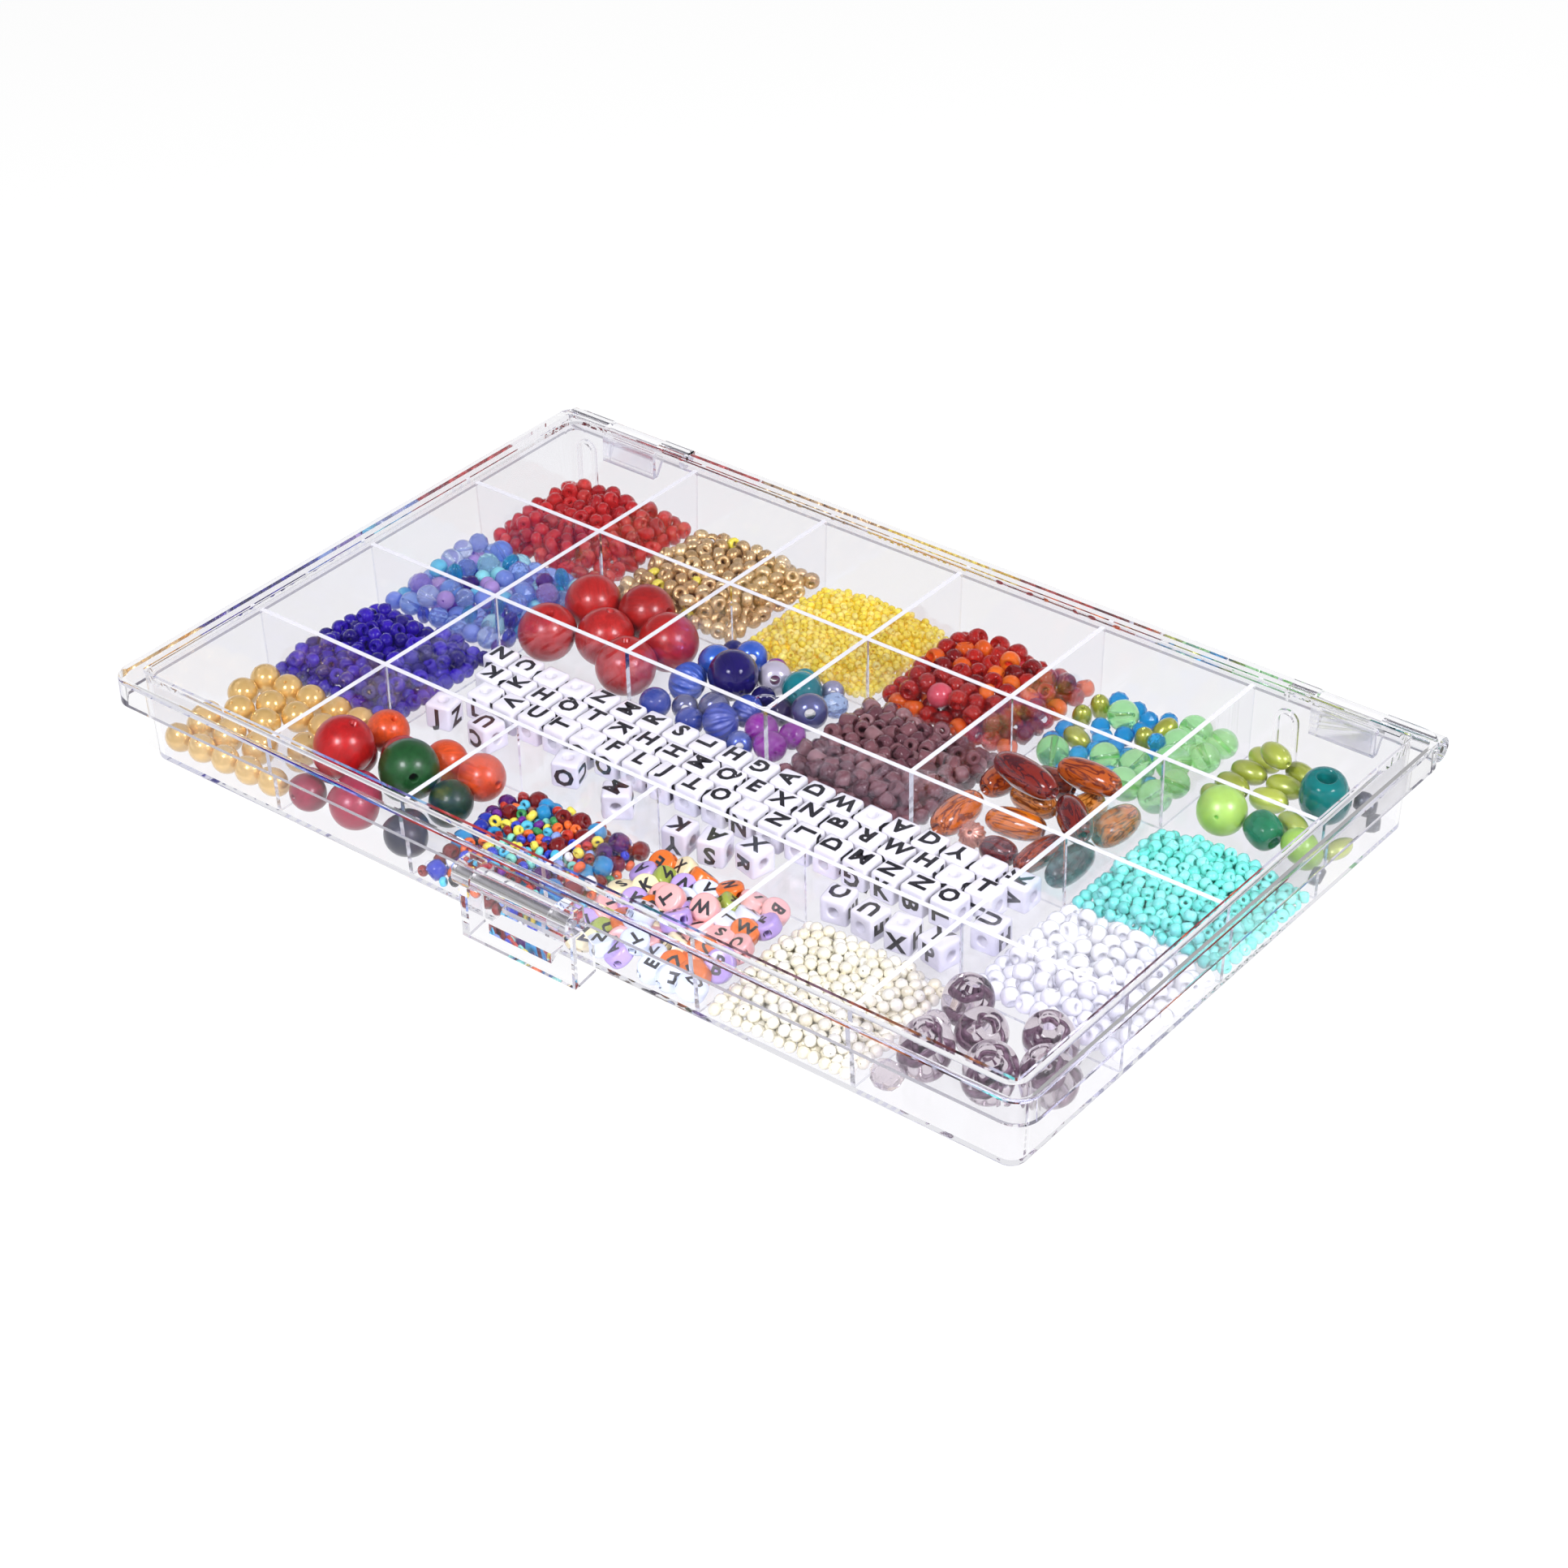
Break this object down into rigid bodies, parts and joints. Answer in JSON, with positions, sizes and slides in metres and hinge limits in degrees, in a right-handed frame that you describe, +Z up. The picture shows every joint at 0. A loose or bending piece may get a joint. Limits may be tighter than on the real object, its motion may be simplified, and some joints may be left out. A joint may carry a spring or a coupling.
{
  "type": "bead organizer",
  "caption": "Clear hinged-lid organizer box with a divided tray of small compartments holding assorted craft beads, a front swing latch and steel hinge pins.",
  "frame": {"origin": "centre of the flat underside of the tray, where the box rests on a table", "axes": "+X along the front edge to the right, +Y towards the hinges at the back, +Z up"},
  "size_m": [0.276, 0.1825, 0.0258],
  "materials": {
    "clear_styrene": "clear glossy polystyrene, faintly lavender at the edges",
    "pin_steel": "bright drawn steel wire",
    "coral_red": "translucent coral-red",
    "bronze_gold": "metallic bronze-gold lustre",
    "yellow_lustre": "yellow lustre",
    "red_orange": "dark red translucent and orange opaque",
    "green_turquoise": "light green translucent and turquoise",
    "olive_lustre": "olive and lime lustre",
    "periwinkle": "periwinkle, lavender and aqua mix",
    "red_painted_wood": "red lacquered wood",
    "blue_glass": "blue, purple and foil glass mix",
    "amethyst": "translucent amethyst",
    "brown_swirl": "glossy brown and orange grain",
    "turquoise_opaque": "opaque turquoise",
    "indigo": "translucent indigo",
    "letter_white": "white acrylic with black letters",
    "white_glass": "white and clear-white",
    "gold_pearl": "champagne gold pearl",
    "painted_wood": "lacquered wood in red, green, orange, magenta and navy",
    "rainbow_mix": "many opaque colours",
    "disc_mix": "pastel acrylic with letters",
    "ivory_pearl": "ivory pearl",
    "lampwork": "clear glass over an amethyst core"
  },
  "bodies": {
    "tray": {"base_tray": "clear_styrene", "column_dividers_row_1": "clear_styrene", "column_dividers_row_2": "clear_styrene", "column_dividers_row_3": "clear_styrene", "column_dividers_row_4": "clear_styrene", "fill_amethyst_tubes": "amethyst", "fill_blue_glass": "blue_glass", "fill_bronze_rings": "bronze_gold", "fill_coral_drops": "coral_red", "fill_gold_pearls": "gold_pearl", "fill_green_turquoise_rounds": "green_turquoise", "fill_indigo_seeds": "indigo", "fill_ivory_pearls": "ivory_pearl", "fill_lampwork_barrels": "lampwork", "fill_letter_cubes": "letter_white", "fill_letter_discs": "disc_mix", "fill_olive_pearls": "olive_lustre", "fill_painted_wood_balls": "painted_wood", "fill_periwinkle_mix": "periwinkle", "fill_rainbow_seeds": "rainbow_mix", "fill_red_orange_ponies": "red_orange", "fill_red_wood_balls": "red_painted_wood", "fill_turquoise_seeds": "turquoise_opaque", "fill_white_seeds": "white_glass", "fill_wood_grain_ovals": "brown_swirl", "fill_yellow_seeds": "yellow_lustre", "hinge_leaf_left": "clear_styrene", "hinge_leaf_right": "clear_styrene", "hinge_pin_left": "pin_steel", "hinge_pin_right": "pin_steel", "row_divider_back": "clear_styrene", "row_divider_front": "clear_styrene", "row_divider_middle": "clear_styrene"},
    "lid": {"lid": "clear_styrene", "latch_pin": "pin_steel"},
    "latch": {"latch_flap": "clear_styrene"}
  },
  "joints": [
    {"name": "lid_hinge", "type": "hinge", "parent": "tray", "child": "lid", "pos_m": [0, 0.08595, 0.0208], "axis": [-1, 0, 0], "range_deg": [0, 180]},
    {"name": "latch_swing", "type": "hinge", "parent": "lid", "child": "latch", "pos_m": [0, -0.09025, 0.02], "axis": [-1, 0, 0], "range_deg": [0, 110]}
  ]
}
